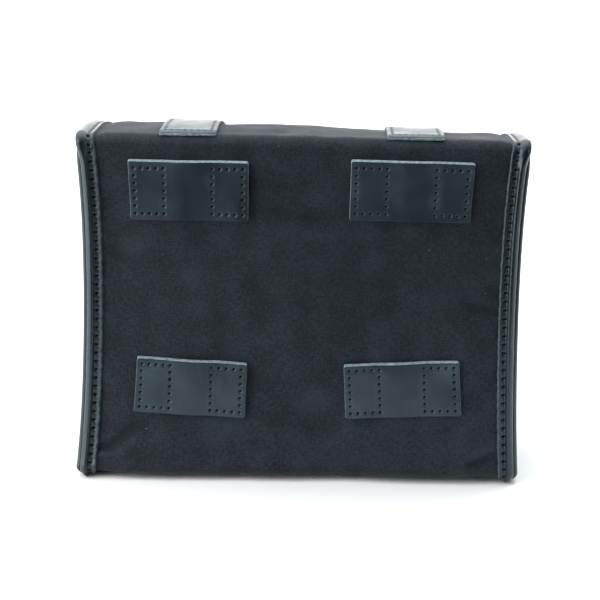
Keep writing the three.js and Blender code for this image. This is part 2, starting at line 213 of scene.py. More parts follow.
# ---------- the bag's side profile ----------
class Path:
    """A line in the (y, z) plane, followed by its length.

    corners are (y, z, radius), and outward tells which side of the line faces out.
    """

    STEP = 0.4
    TURNS = 24  # pieces of each rounded corner

    def __init__(self, corners, outward):
        line = []
        for i, (y, z, radius) in enumerate(corners):
            here = np.array((y, z), float)
            if not radius:
                line.append(here)
                continue
            back = np.array(corners[i - 1][:2]) - here
            on = np.array(corners[i + 1][:2]) - here
            back, on = back / np.linalg.norm(back), on / np.linalg.norm(on)
            half = math.acos(back @ on) / 2
            middle = (back + on) / np.linalg.norm(back + on)
            centre = here + middle * radius / math.sin(half)
            start = here + back * radius / math.tan(half) - centre
            end = here + on * radius / math.tan(half) - centre
            sweep = math.atan2(start[0] * end[1] - start[1] * end[0], start @ end)
            for k in range(self.TURNS + 1):
                c, s = math.cos(sweep * k / self.TURNS), math.sin(sweep * k / self.TURNS)
                line.append(centre + (c * start[0] - s * start[1], s * start[0] + c * start[1]))
        line = np.array(line)
        along = np.concatenate([[0], np.cumsum(np.linalg.norm(np.diff(line, axis=0), axis=1))])
        self.length = along[-1]
        self.s = np.linspace(0, self.length, int(self.length / self.STEP))
        self.line = np.stack([np.interp(self.s, along, line[:, k]) for k in (0, 1)], 1)
        tangent = np.gradient(self.line, self.s, axis=0)
        normal = np.stack([tangent[:, 1], -tangent[:, 0]], 1) * outward
        self.normal = normal / np.linalg.norm(normal, axis=1)[:, None]

    def __call__(self, s, x, n):
        """Points at length s, at x across the bag and n outside the line.

        Past its end the line goes on straight down.
        """
        s, x, n = np.broadcast_arrays(s, x, n)
        y, z = (np.interp(s, self.s, self.line[:, k]) for k in (0, 1))
        ny, nz = (np.interp(s, self.s, self.normal[:, k]) for k in (0, 1))
        beyond = np.maximum(s - self.length, 0)
        return np.stack([x, y + ny * n, z + nz * n - beyond], -1)

    def find(self, y, z):
        """Length at which the line passes nearest a point."""
        return self.s[np.argmin(np.hypot(self.line[:, 0] - y, self.line[:, 1] - z))]


LID_FACE = LID_TOP - 0.3  # the lid's canvas face at the back, a little under the CAD's box


def lid_line(y):
    """Height of the lid's canvas face at depth y."""
    return LID_FACE - LID_SLOPE * (y - BACK)


BOTTOM_START = -30
BOTTOM_RADIUS = 7
FOLD_RADIUS = 5.0
LID_RADIUS = 12
wrap = Path([
    (BOTTOM_START, FLOOR_GAP, 0),
    (BACK, FLOOR_GAP, BOTTOM_RADIUS),
    (BACK, lid_line(BACK), FOLD_RADIUS),
    (FLAP_FRONT, lid_line(FLAP_FRONT), LID_RADIUS),
    (FLAP_FRONT, FLAP_BOTTOM, 0),
], -1)
mouth_low, mouth_high = span("mouth_binding")
under = Path([
    (BOTTOM_START, FLOOR_GAP, 0),
    (FRONT, FLOOR_GAP, BOTTOM_RADIUS),
    (FRONT, mouth_high[2] - 1.4, 0),  # ends inside the binding
], 1)
BACK_S = wrap.find(BACK, 60) - 60  # wrap length minus height, on the flat back
FOLD_S = wrap.find(BACK, lid_line(BACK) - FOLD_RADIUS)  # wrap length at the foot of the fold

# ---------- how the soft bag gives way ----------
broad = Ripples(3, 90, 170)
middling = Ripples(11, 38, 75)
fine = Ripples(29, 14, 30)
lid_ripples = Ripples(41, 50, 110)
WAIST_HEIGHT = 130  # height of the narrowest place
# (left, right): how far the sides are pulled in at the waist and pushed out at the base and the top
WAIST, SPREAD, FLARE = (2.8, 1.1), (3.5, 4.0), (1.2, 2.6)
PUFF = 1.8  # canvas standing out between the leather bands
HEEL = (10.0, 4.0)  # base pushed out backwards, left and right
HEEL_LIFT = 1.2  # base standing off the floor along its back edge
CROWN = 5.8  # rise of the lid over its contents
LEAN = 6.0  # drop of the lid towards the right
FOLD_DIP = 1.6  # drop of the lid's rear fold
FOOT_TUCK = 2.6  # lower ends of the side bands drawn in at the floor
BELLY = 2.4  # base hanging down between the side bands


def soften(p):
    """Moves points of the ideal bag to where the soft one has them."""
    x, y, z = np.moveaxis(np.asarray(p, float), -1, 0)
    waist, spread, flare = (np.where(x < 0, *pair) for pair in (WAIST, SPREAD, FLARE))
    side = np.sign(x) * smooth((np.abs(x) - 70) / 55)
    low = np.clip(1 - z / WAIST_HEIGHT, 0, 1)
    high = np.clip((z - WAIST_HEIGHT) / (LID_TOP - WAIST_HEIGHT), 0, 1.1)
    push = -waist + (waist + spread) * low ** 1.8 + (waist + flare) * high ** 2.5
    tucked = FOOT_TUCK * np.clip(1 - z / 6, 0, 1) ** 2 * smooth((np.abs(x) - 129) / 8)
    new_x = x + side * (push - tucked)

    near_back = smooth((-y - 15) / 30)
    near_front = smooth((y - 10) / 30)
    near_top = smooth(1 - (lid_line(y) - z) / 30)
    inside = 1 - smooth((np.abs(x) - 95) / 35)
    puff = PUFF * smooth((125 - np.abs(x)) / 22) * (1 - near_top * smooth((z - 190) / 25))
    back_move = 0.7 * broad(x, z) + inside * 0.35 * middling(x, z) + puff
    front_move = (0.6 + 0.8 * broad(x + 400, z)) * inside * smooth((z - 20) / 60)
    front_move = front_move * (1 - gauss((np.abs(x) - STRAP_X) / 26))
    heel = (HEEL[0] + (HEEL[1] - HEEL[0]) * smooth((x + 120) / 240)) * low ** 5
    new_y = y - near_back * (back_move + heel) + near_front * front_move

    depth = (y - BACK) / (FLAP_FRONT - BACK)
    behind = smooth((y - BACK - 2) / 28)
    crown = CROWN * np.sin(np.pi * np.clip(depth, 0, 1) ** 1.05)
    crown = crown + 0.85 * PUFF * smooth((127 - np.abs(x)) / 10) * smooth((y - BACK) / 8)
    lean = LEAN * smooth((x + 20) / 90) * np.clip(depth, 0, 1)
    lumps = 0.35 * lid_ripples(x, y) * inside * behind
    dip = FOLD_DIP * smooth(1 - (lid_line(y) - z) / 14) * (1 - smooth((y - BACK) / 50))
    new_z = z + near_top * (crown + lumps - lean) - dip
    new_z = new_z + HEEL_LIFT * smooth((BACK + 18 - y) / 16) * smooth(1 - z / 16)
    belly = inside * smooth(1 - z / 14) * smooth((y - BACK - 8) / 20) * smooth((FRONT + 7 - y) / 12)
    new_z = np.maximum(new_z - BELLY * belly, 0.05)
    return points(new_x, new_y, new_z)


# ---------- mesh making ----------
class Shape:
    """Collects grids of points into one mesh, with a material number and UVs in metres.

    tone is a value per point that materials read: below 0 in pits and creases, where they paint shade
    into the colour, and above 0 on raised ridges and the cut lip, where they paint a highlight (on the
    lip partly wear).
    Faces deep in a pit take the material number pit_slot, which holds a near-black painted shade.
    """

    DEEP = -0.4

    def __init__(self, pit_slot=None):
        self.points, self.faces, self.uvs, self.slots, self.tones = [], [], [], [], []
        self.count = 0
        self.pit_slot = pit_slot

    def grid(self, points, uv=None, slot=0, close=False, skip=None, tone=0.0):
        rows, columns = points.shape[:2]
        uv = np.zeros((rows, columns, 2)) if uv is None else np.asarray(uv, float)
        tone = np.broadcast_to(tone, (rows, columns))
        self.tones.append(tone.ravel())
        index = np.arange(rows * columns).reshape(rows, columns) + self.count
        if close:
            index = np.concatenate([index, index[:, :1]], 1)
            tone = np.concatenate([tone, tone[:, :1]], 1)
        self.points.append(points.reshape(-1, 3))
        self.uvs.append(uv.reshape(-1, 2) * MM)
        quads = np.stack([index[:-1, :-1], index[1:, :-1], index[1:, 1:], index[:-1, 1:]], -1)
        slots = np.broadcast_to(slot, quads.shape[:2])
        if self.pit_slot is not None:
            mean = (tone[:-1, :-1] + tone[1:, :-1] + tone[1:, 1:] + tone[:-1, 1:]) / 4
            slots = np.where(mean < self.DEEP, self.pit_slot, slots)
        keep = ~skip if skip is not None else np.ones(quads.shape[:2], bool)
        self.faces.extend(quads[keep].tolist())
        self.slots.extend(slots[keep].tolist())
        self.count += rows * columns
        return index

    def loft(self, rings, uv=None, slot=0, caps=True, tone=0.0):
        """A tube through closed rings of points."""
        index = self.grid(rings, uv, slot, close=True, tone=tone)
        if caps:
            for ring in (index[0, :-1][::-1], index[-1, :-1]):
                self.faces.append(ring.tolist())
                self.slots.append(0)

    def build(self, name, materials):
        mesh = bpy.data.meshes.new(name)
        points = np.concatenate(self.points) * MM
        mesh.from_pydata(points.tolist(), [], self.faces)
        mesh.polygons.foreach_set("material_index", np.array(self.slots, np.int32))
        layer = mesh.uv_layers.new(name="UVMap")
        corner = np.zeros(len(mesh.loops), np.int32)
        mesh.loops.foreach_get("vertex_index", corner)
        layer.data.foreach_set("uv", np.concatenate(self.uvs)[corner].ravel())
        tone = mesh.attributes.new("tone", "FLOAT", "POINT")
        tone.data.foreach_set("value", np.concatenate(self.tones))
        for material in materials:
            mesh.materials.append(material)
        work = bmesh.new()
        work.from_mesh(mesh)
        bmesh.ops.remove_doubles(work, verts=work.verts, dist=1e-6)
        bmesh.ops.recalc_face_normals(work, faces=work.faces)
        work.to_mesh(mesh)
        work.free()
        mesh.polygons.foreach_set("use_smooth", [True] * len(mesh.polygons))
        mesh.update()
        piece = bpy.data.objects.new(name, mesh)
        bpy.context.scene.collection.objects.link(piece)
        return piece


def slab(shape, us, vs, place, low, high, rim=0.4, corner=0.0, relief=None, pit=1.0, rim_slot=0,
         hole=None):
    """A sheet with thickness. place(u, v, n) puts a point of the flat cut on the bag.

    rim is the width of the bevel along its edge, and corner the radius of its corners. pit is the
    relief's depth that counts as a full hole. hole is (u0, u1, v0, v1) for a rectangular opening.
    """
    us, vs = np.array(us, float), np.array(vs, float)
    skip = None
    if hole:
        u_in = [int(np.argmin(np.abs(us - edge))) for edge in hole[:2]]
        v_in = [int(np.argmin(np.abs(vs - edge))) for edge in hole[2:]]
        skip = np.zeros((len(us) - 1, len(vs) - 1), bool)
        skip[u_in[0]:u_in[1], v_in[0]:v_in[1]] = True
    centre = ((us[0] + us[-1]) / 2, (vs[0] + vs[-1]) / 2)
    half = (abs(us[-1] - us[0]) / 2, abs(vs[-1] - vs[0]) / 2)

    def rounded(u, v):
        if not corner:
            return u, v
        a, b = u - centre[0], v - centre[1]
        over_a = np.maximum(np.abs(a) - (half[0] - corner), 0)
        over_b = np.maximum(np.abs(b) - (half[1] - corner), 0)
        keep = np.maximum(over_a, over_b) / np.maximum(np.hypot(over_a, over_b), 1e-9)
        keep = np.where((over_a > 0) & (over_b > 0), keep, 1)
        a = np.sign(a) * (np.minimum(np.abs(a), half[0] - corner) + over_a * keep)
        b = np.sign(b) * (np.minimum(np.abs(b), half[1] - corner) + over_b * keep)
        return a + centre[0], b + centre[1]

    def inset(values, amount):
        first, last = values[0], values[-1]
        squeeze = 1 - 2 * amount / abs(last - first)
        return (values - (first + last) / 2) * squeeze + (first + last) / 2

    def face(amount, n, bumps):
        u, v = np.meshgrid(inset(us, amount), inset(vs, amount), indexing="ij")
        u, v = rounded(u, v)
        bump = relief(u, v) if bumps and relief is not None else 0 * u
        return place(u, v, n + bump), np.stack([u, v], -1), bump

    def loop(grid):
        return np.concatenate([grid[:-1, 0], grid[-1, :-1], grid[:0:-1, -1], grid[0, :0:-1]])

    top, top_uv, bump = face(rim, high, True)
    bottom, bottom_uv, _ = face(rim, low, False)
    # The relief's depth is stored as tone, from which materials paint shade into pits and creases and a
    # highlight onto swellings.
    shape.grid(top, top_uv, skip=skip, tone=bump / pit)
    shape.grid(bottom, bottom_uv, skip=skip)
    if hole:
        inner = (slice(u_in[0], u_in[1] + 1), slice(v_in[0], v_in[1] + 1))
        walls = np.array([loop(top[inner]), loop(bottom[inner])])
        shape.loft(walls, np.array([loop(top_uv[inner])] * 2), rim_slot, caps=False)
    rings = [loop(top)]
    uv = [loop(top_uv)]
    for amount, n in ((0.3 * rim, high - 0.3 * rim), (0, high - rim), (0, low + rim)):
        ring, ring_uv, _ = face(amount, n, False)
        rings.append(loop(ring))
        uv.append(loop(ring_uv))
    rings.append(loop(bottom))
    uv.append(loop(bottom_uv))
    shape.loft(np.array(rings[:2]), np.array(uv[:2]), caps=False)
    shape.loft(np.array(rings[1:]), np.array(uv[1:]), rim_slot, caps=False)


def stadium(width, thick, rim, rows):
    """Closed section of a flat strap: (across, out) pairs, with out from 0 to thick."""
    half = width / 2
    flat = np.linspace(-half + rim, half - rim, rows)
    turn = np.linspace(0, np.pi / 2, 4)[1:]
    right = [(half - rim + rim * math.sin(a), thick - rim + rim * math.cos(a)) for a in turn]
    right += [(half - rim + rim * math.cos(a), rim - rim * math.sin(a)) for a in turn]
    top = [(x, thick) for x in flat]
    bottom = [(x, 0) for x in flat[::-1][1:]]
    left = [(-x, n) for x, n in right[::-1]]
    return np.array(top + right + bottom + left[:-1])


THREAD_LIFT = 0.05  # a stitch's middle over the leather
THREAD_SINK = 1.1  # its ends below the leather, inside the holes


def add_threads(shape, holes, place, surface, radius=0.32):
    """Stitches between neighbouring holes.

    holes is an array of (u, v) on the flat cut, and surface the height of the face over it.
    """
    t = np.linspace(0, 1, 7)
    arc = 4 * t * (1 - t)
    angle = np.linspace(0, 2 * np.pi, 7)[:-1]
    for (u0, v0), (u1, v1) in zip(holes[:-1], holes[1:]):
        u, v = u0 + (u1 - u0) * t, v0 + (v1 - v0) * t
        height = surface + (THREAD_LIFT + THREAD_SINK) * np.sqrt(arc) - THREAD_SINK
        line = place(u, v, height)
        out = place(u, v, height + 1) - line
        out /= np.linalg.norm(out, axis=1)[:, None]
        along = np.gradient(line, axis=0)
        along /= np.linalg.norm(along, axis=1)[:, None]
        across = np.cross(along, out)
        ring = across[:, None] * np.cos(angle)[:, None] + out[:, None] * np.sin(angle)[:, None]
        shape.loft(line[:, None] + radius * ring)


def hole_run(start, end, pitch):
    """Evenly spaced holes from start to end, both (u, v)."""
    start, end = np.array(start, float), np.array(end, float)
    count = max(1, round(np.linalg.norm(end - start) / pitch))
    return start + (end - start) * np.linspace(0, 1, count + 1)[:, None]


PIT = 1.4  # depth of a stitch hole
REACH = 4  # how far from its middle a stitch hole changes the leather


def pucker(holes, width=0.66):
    """Relief of leather pulled down at stitch holes and swollen a little round them."""

    def relief(u, v):
        total = np.zeros(np.broadcast(u, v).shape)
        (u_low, v_low), (u_high, v_high) = holes.min(0) - REACH, holes.max(0) + REACH
        near = (u > u_low) & (u < u_high) & (v > v_low) & (v < v_high)
        if not near.any():
            return total
        a, b = np.broadcast_to(u, total.shape)[near], np.broadcast_to(v, total.shape)[near]
        best = np.full(a.shape, 1e9)
        for hu, hv in holes:
            best = np.minimum(best, (a - hu) ** 2 + (b - hv) ** 2)
        far = np.sqrt(best)
        total[near] = -PIT * gauss(far / width) + 0.05 * gauss((far - 2.2) / 1.1)
        return total

    return relief


# ---------- materials ----------
class Surface:
    """A procedural material, with short ways to add its nodes."""

    def __init__(self, name, color, roughness, **sockets):
        self.material = bpy.data.materials.new(name)
        self.material.use_nodes = True
        self.tree = self.material.node_tree
        self.shader = self.tree.nodes["Principled BSDF"]
        self.shader.inputs["Base Color"].default_value = (*color, 1)
        self.shader.inputs["Roughness"].default_value = roughness
        for socket, value in sockets.items():
            self.shader.inputs[socket.replace("_", " ")].default_value = value

    def node(self, kind, inputs=(), out=0, **settings):
        return add_node(self.tree, kind, inputs, out, **settings)

    def math(self, operation, a, b=0.0):
        return self.node("Math", {0: a, 1: b}, operation=operation)

    def place(self):
        return self.node("TexCoord", out="Object")

    def cut(self):
        return self.node("UVMap")

    def tone(self):
        return self.node("Attribute", out="Fac", attribute_name="tone")

    def noise(self, scale, detail=3, where=None, stretch=None):
        where = where or self.place()
        if stretch:
            where = self.node("Mapping", {"Vector": where, "Scale": stretch})
        return self.node("TexNoise", {"Vector": where, "Scale": scale, "Detail": detail}, out="Fac")

    def range(self, value, low, high, to_low=0.0, to_high=1.0):
        ends = {"From Min": low, "From Max": high, "To Min": to_low, "To Max": to_high}
        return self.node("MapRange", {"Value": value, **ends}, out="Result")

    def mix(self, factor, a, b):
        a, b = ((*c, 1) if isinstance(c, tuple) else c for c in (a, b))
        return self.node("Mix", {0: factor, 6: a, 7: b}, out=2, data_type="RGBA")

    def color(self, socket):
        self.tree.links.new(socket, self.shader.inputs["Base Color"])

    def rough(self, socket):
        self.tree.links.new(socket, self.shader.inputs["Roughness"])

    def bump(self, *layers):
        """Each layer is (height, distance in mm, strength)."""
        normal = None
        for height, distance, strength in layers:
            inputs = {"Height": height, "Distance": distance * MM, "Strength": strength}
            if normal is not None:
                inputs["Normal"] = normal
            normal = self.node("Bump", inputs, out="Normal")
        self.tree.links.new(normal, self.shader.inputs["Normal"])


def woven(name, dark, light, thread, bloom, roughness, lint=False, **sockets):
    """Plain-weave cloth. thread is the spacing of its yarns in millimetres."""
    s = Surface(name, dark, roughness, **sockets)
    split = s.node("SeparateXYZ", {0: s.cut()}).node
    turns = math.pi / (thread * MM)
    warp = s.math("SINE", s.math("MULTIPLY", split.outputs[0], turns))
    weft = s.math("SINE", s.math("MULTIPLY", split.outputs[1], turns))
    weave = s.math("MULTIPLY", warp, weft)
    slub = s.noise(1150, 3, s.cut(), stretch=(1, 0.24, 1))
    slub_across = s.noise(1150, 3, s.cut(), stretch=(0.24, 1, 1))
    yarn = s.math("ADD", slub, slub_across)
    mottle = s.noise(620, 3)
    cloudy = s.noise(11, 4)
    patchy = s.noise(60, 5)
    amount = s.math("ADD", s.range(cloudy, 0.32, 0.7, 0, 0.4), s.range(patchy, 0.4, 0.75, 0, 0.25))
    amount = s.math("ADD", amount, s.range(yarn, 0.75, 1.25, -0.35, 0.5))
    amount = s.math("ADD", amount, s.range(mottle, 0.35, 0.65, -0.2, 0.3))
    amount = s.math("ADD", amount, s.math("MULTIPLY", weave, 0.1))
    # Painted shade and highlight: the relief's tone darkens the canvas in creases and lightens it on
    # their swollen lips.
    amount = s.math("ADD", amount, s.range(s.tone(), -0.8, 0.8, -0.6, 0.6))
    tint = s.mix(s.range(amount, 0, 1), dark, light)
    tint = s.mix(s.range(s.noise(28, 6), 0.56, 0.8, 0, 0.4), tint, bloom)
    if lint:
        cells = s.node("TexVoronoi", {"Vector": s.place(), "Scale": 85.0}).node
        speck = s.math("LESS_THAN", cells.outputs["Distance"], 0.026)
        chosen = s.node("SeparateXYZ", {0: cells.outputs["Color"]})
        speck = s.math("MULTIPLY", speck, s.math("GREATER_THAN", chosen, 0.45))
        tint = s.mix(speck, tint, (0.2, 0.22, 0.24))
    s.color(tint)
    s.rough(s.range(patchy, 0.3, 0.75, roughness - 0.1, roughness + 0.08))
    s.bump((weave, 0.16, 0.55), (yarn, 0.2, 0.6), (mottle, 0.12, 0.35))
    return s.material


def hide(name, dark, light, roughness, grain=1.1, scuff=0.25, **sockets):
    """Smooth leather. grain is the size of its pores in millimetres."""
    s = Surface(name, dark, roughness, **sockets)
    cells = s.node("TexVoronoi", {"Vector": s.place(), "Scale": 1 / (grain * MM)},
                   out="Distance", feature="SMOOTH_F1")
    pores = s.noise(1400, 3)
    tone = s.noise(17, 5)
    cloud = s.noise(70, 4)
    scrape = s.noise(90, 6, stretch=(1, 1, 0.22))
    tint = s.mix(s.range(tone, 0.32, 0.7), dark, light)
    pale = tuple(min(1, 2.2 * c + 0.008) for c in light)
    tint = s.mix(s.range(scrape, 0.6, 0.82, 0, scuff), tint, pale)
    # Painted highlight: raised ridges and the cut lip (tone above 0) turn pale; on the lip this is
    # partly wear.
    tint = s.mix(s.range(s.tone(), 0.05, 0.3, 0, 0.5), tint, pale)
    # Painted shade: pits (tone below 0) turn near black, as if in shadow.
    tint = s.mix(s.range(s.tone(), -0.1, -0.4, 0, 0.9), tint, (0.001, 0.0012, 0.0015))
    s.color(tint)
    rough = s.math("ADD", s.range(cloud, 0.3, 0.7, -0.05, 0.06), s.range(scrape, 0.5, 0.8, 0, 0.08))
    rough = s.math("ADD", rough, s.range(pores, 0.3, 0.7, roughness - 0.03, roughness + 0.05))
    s.rough(s.math("ADD", rough, s.range(s.tone(), -0.1, -0.4, 0, 0.4)))
    swell = s.noise(14, 1)
    s.bump((cells, 0.1, 0.3), (pores, 0.06, 0.35), (swell, 0.6, 0.12))
    return s.material


def raw_edge(name, dark, light):
    """The cut edge of leather, with its fibres showing."""
    s = Surface(name, light, 0.85, Specular_IOR_Level=0.2)
    fibres = s.noise(1500, 4, stretch=(0.3, 1, 0.3))
    s.color(s.mix(s.range(fibres, 0.35, 0.65), dark, light))
    s.bump((fibres, 0.15, 0.6))
    return s.material


def painted_hole_shade(name):
    """Painted shade: near-black, rough leather for the faces deep inside the stitch holes."""
    s = Surface(name, (0.0012, 0.0014, 0.0017), 0.95, Specular_IOR_Level=0.05)
    fibres = s.noise(1800, 3)
    s.color(s.mix(s.range(fibres, 0.35, 0.65), (0.0007, 0.0009, 0.001), (0.002, 0.0024, 0.0028)))
    s.bump((fibres, 0.1, 0.5))
    return s.material


def plated(name):
    """Nickel plating, cloudy and finely scratched."""
    s = Surface(name, (0.56, 0.55, 0.52), 0.26, Metallic=1.0)
    scratches = s.noise(700, 4, stretch=(0.15, 1, 1))
    cloud = s.noise(130, 4)
    s.color(s.mix(s.range(cloud, 0.35, 0.7), (0.6, 0.59, 0.56), (0.4, 0.39, 0.36)))
    s.rough(s.math("ADD", s.range(scratches, 0.4, 0.75, 0.18, 0.32), s.range(cloud, 0.4, 0.8, 0, 0.14)))
    s.bump((scratches, 0.02, 0.3))
    return s.material


def yarn(name, color):
    """Waxed sewing thread."""
    s = Surface(name, color, 0.45, Specular_IOR_Level=0.5)
    twist = s.noise(2500, 2)
    s.color(s.mix(s.range(twist, 0.35, 0.65), tuple(0.5 * c for c in color), color))
    s.bump((twist, 0.1, 0.6))
    return s.material


def board(name):
    s = Surface(name, (0.03, 0.03, 0.03), 0.6)
    grit = s.noise(600, 3)
    s.rough(s.range(grit, 0.3, 0.7, 0.5, 0.7))
    s.bump((grit, 0.05, 0.4))
    return s.material


def paper(name):
    s = Surface(name, (0.93, 0.935, 0.94), 0.6, Specular_IOR_Level=0.2)
    s.color(s.mix(s.noise(3, 2), (0.92, 0.928, 0.935), (0.94, 0.943, 0.945)))
    return s.material


CANVAS = woven("waxed_canvas", (0.004, 0.0068, 0.0105), (0.0172, 0.025, 0.0342), 0.55,
               (0.031, 0.0425, 0.0535), 0.72, lint=True, Specular_IOR_Level=0.22,
               Sheen_Weight=0.12, Sheen_Roughness=0.35, Sheen_Tint=(0.75, 0.93, 1.0, 1))
LINING = woven("lining_cotton", (0.1, 0.105, 0.11), (0.17, 0.175, 0.18), 0.4,
               (0.2, 0.2, 0.2), 0.9, Specular_IOR_Level=0.2)
COOL = (0.7, 0.9, 1.0, 1)
SIDE = hide("side_leather", (0.0042, 0.0062, 0.0082), (0.0085, 0.0118, 0.015), 0.3, 0.9, 0.15,
            Specular_IOR_Level=0.6, Specular_Tint=COOL)
STRAP = hide("strap_leather", (0.0055, 0.0085, 0.012), (0.02, 0.029, 0.038), 0.36, 0.8, 0.25,
             Specular_IOR_Level=0.68, Specular_Tint=COOL)
LOOP = hide("loop_leather", (0.0065, 0.01, 0.014), (0.024, 0.034, 0.044), 0.38, 0.8, 0.25,
            Specular_IOR_Level=0.48, Specular_Tint=COOL)
BINDING = hide("binding_leather", (0.0055, 0.008, 0.0105), (0.011, 0.015, 0.019), 0.35, 0.7, 0.15,
               Specular_IOR_Level=0.5, Specular_Tint=COOL)
EDGE = raw_edge("raw_edge", (0.11, 0.15, 0.16), (0.3, 0.385, 0.4))
LIP_EDGE = raw_edge("lip_edge", (0.03, 0.042, 0.05), (0.09, 0.12, 0.135))
HOLE_SHADE = painted_hole_shade("painted_hole_shade")
DARK_EDGE = raw_edge("dark_edge", (0.012, 0.015, 0.018), (0.035, 0.042, 0.048))
THREAD = yarn("thread", (0.009, 0.012, 0.015))
NICKEL = plated("nickel")
BOARD = board("board_plastic")


def over_hinge(piece, slot, *nodes):
    """A piece that lies bent over the fold, left where it is with its placement baked into its mesh."""
    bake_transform(piece)
    finish_piece(piece, slot, *nodes)


def on_body(piece, body, slot, *nodes):
    """A piece that moves with one body only."""
    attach(piece, body)
    finish_piece(piece, slot, *nodes)


def finish_piece(piece, slot, *nodes):
    if nodes:
        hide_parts(*nodes)


# ---------- canvas ----------
CLOTH = 1.5  # thickness
cloth_half = HALF_WIDTH - 3.2  # its side edges are sewn in under the leather
CREASES = [  # (x, z) to (x, z) on the back, depth and width
    ((-126, 19), (-117, 20), 2.2, 2.0),
    ((-117, 20), (-103, 33), 1.0, 3.4),
    ((123, 20), (106, 12), 0.8, 2.6),
    ((124, 112), (104, 118), 0.6, 2.6),
    ((-124, 150), (-104, 141), 0.35, 3.0),
    ((-30, 176), (24, 168), 0.3, 5.0),
    ((-20, 40), (30, 33), 0.35, 5.0),
    ((26, 96), (60, 120), 0.3, 5.0),
]


def crease_relief(x, s):
    """Folds pressed into the canvas, each with a swollen lip along its lower side."""
    z = s - BACK_S
    total = 0.12 * fine(x, z)
    for (x0, z0), (x1, z1), depth, width in CREASES:
        along = np.array((x1 - x0, z1 - z0), float)
        length = np.linalg.norm(along)
        along /= length
        t = (x - x0) * along[0] + (z - z0) * along[1]
        off = (x - x0) * along[1] - (z - z0) * along[0]
        ends = smooth((t + 4) / 8) * smooth((length + 4 - t) / 8)
        fold = gauss(off / width) - 0.55 * gauss((off - 1.9 * width) / width)
        total = total - depth * ends * fold
    return total


def canvas_sheet(name, path, step, relief=None):
    """A canvas as wide as the bag that follows a path."""
    shape = Shape()
    us = np.linspace(-cloth_half, cloth_half, int(2 * cloth_half / step) + 1)
    vs = np.linspace(0, path.length, int(path.length / step) + 1)
    slab(shape, us, vs, lambda u, v, n: soften(path(v, u, n)), -CLOTH, 0, relief=relief)
    return shape.build(name, [CANVAS])


# Painted shade and highlight: the creases' depth also darkens and lightens the canvas colour.
wrap_canvas = canvas_sheet("wrap_canvas", wrap, 1.8, crease_relief)
under_canvas = canvas_sheet("under_canvas", under, 2.5)
over_hinge(wrap_canvas, "waxed_canvas", "lid_canvas")
on_body(under_canvas, "bag", "waxed_canvas", "canvas_body")

# ---------- leather bands along the sides ----------
SEAM = CUT_EDGE + 3.3
SEAM_PITCH = 5.5
SEAM_PIT = 1.1
BAND_STEP = 0.5  # mesh spacing along a band
CHANNEL = 1.2  # height of the leather's face along the seam


def rounded_section(keys, finer=4):
    """Closed section through key points, eased between them."""
    keys = np.array(keys, float)
    before, after, next_after = (np.roll(keys, k, axis=0) for k in (1, -1, -2))
    rows = []
    for t in np.arange(finer) / finer:
        rows.append(0.5 * (2 * keys + (after - before) * t
                           + (2 * before - 5 * keys + 4 * after - next_after) * t ** 2
                           + (3 * keys - before - 3 * after + next_after) * t ** 3))
    return np.stack(rows, 1).reshape(-1, 2)


# sections of the leather band: (distance from the cut edge, height over the canvas)
# on the bag it ends in a bead that is turned in behind the side panel's edge
TURNED = rounded_section([
    (0, 0.05), (0, 0.9), (0.05, 1.4), (0.25, 1.8), (0.6, 1.85), (1.1, 1.6), (1.9, 1.3), (3.0, 1.2),
    (4.2, 1.3), (4.9, 2.0), (5.6, 3.0), (6.4, 3.5), (7.3, 3.3), (8.2, 2.75), (9.0, 2.0), (9.6, 1.0),
    (9.9, -0.8), (9.4, -2.4), (8.6, -2.6), (8.0, -1.4), (7.4, -0.2), (4, 0.05),
])
THIN_LIP = [(0, 0.05), (0, 0.7), (0.05, 1.0), (0.25, 1.3), (0.6, 1.35), (1.1, 1.25), (1.9, 1.15),
            (3.0, 1.1)]
EARED = rounded_section(THIN_LIP + [  # on the lid it hangs over the side panel as an ear
    (4.4, 1.6), (6.4, 2.3), (8.4, 2.2), (10.3, 1.4), (11.9, 0.1), (12.9, -1.8), (13.5, -4.6),
    (13.9, -7.8), (13.9, -10.4), (13.3, -11.0), (12.7, -10.2), (12.2, -5.0), (11.2, -1.2), (7, -0.1),
])
CORNER = rounded_section(THIN_LIP + [  # where it turns over the rear fold
    (4.2, 1.25), (5.6, 2.1), (7.2, 2.7), (8.8, 2.7), (10.1, 2.1), (11.0, 0.9), (11.4, -0.7),
    (11.5, -2.4), (11.2, -3.4), (10.6, -3.6), (10.0, -2.8), (9.6, -1.2), (8.4, -0.2), (5, 0.05),
])


def blended_section(s):
    """The band's section at length s: turned edge, then corner, then ear."""
    corner = smooth((s - FOLD_S + 14) / 14)[:, None, None]
    ear = smooth((s - FOLD_S - 2) / 22)[:, None, None]
    return TURNED * (1 - corner) + CORNER * (corner - ear * corner) + EARED * ear * corner


def seam_relief(x, s):
    """Leather pulled down at each hole of the seam, and swollen between them."""
    along = (s + SEAM_PITCH / 2) % SEAM_PITCH - SEAM_PITCH / 2
    far = np.hypot(x - SEAM, along)
    return -SEAM_PIT * gauss(far / 0.8) + 0.1 * gauss((far - 2.3) / 1.1)


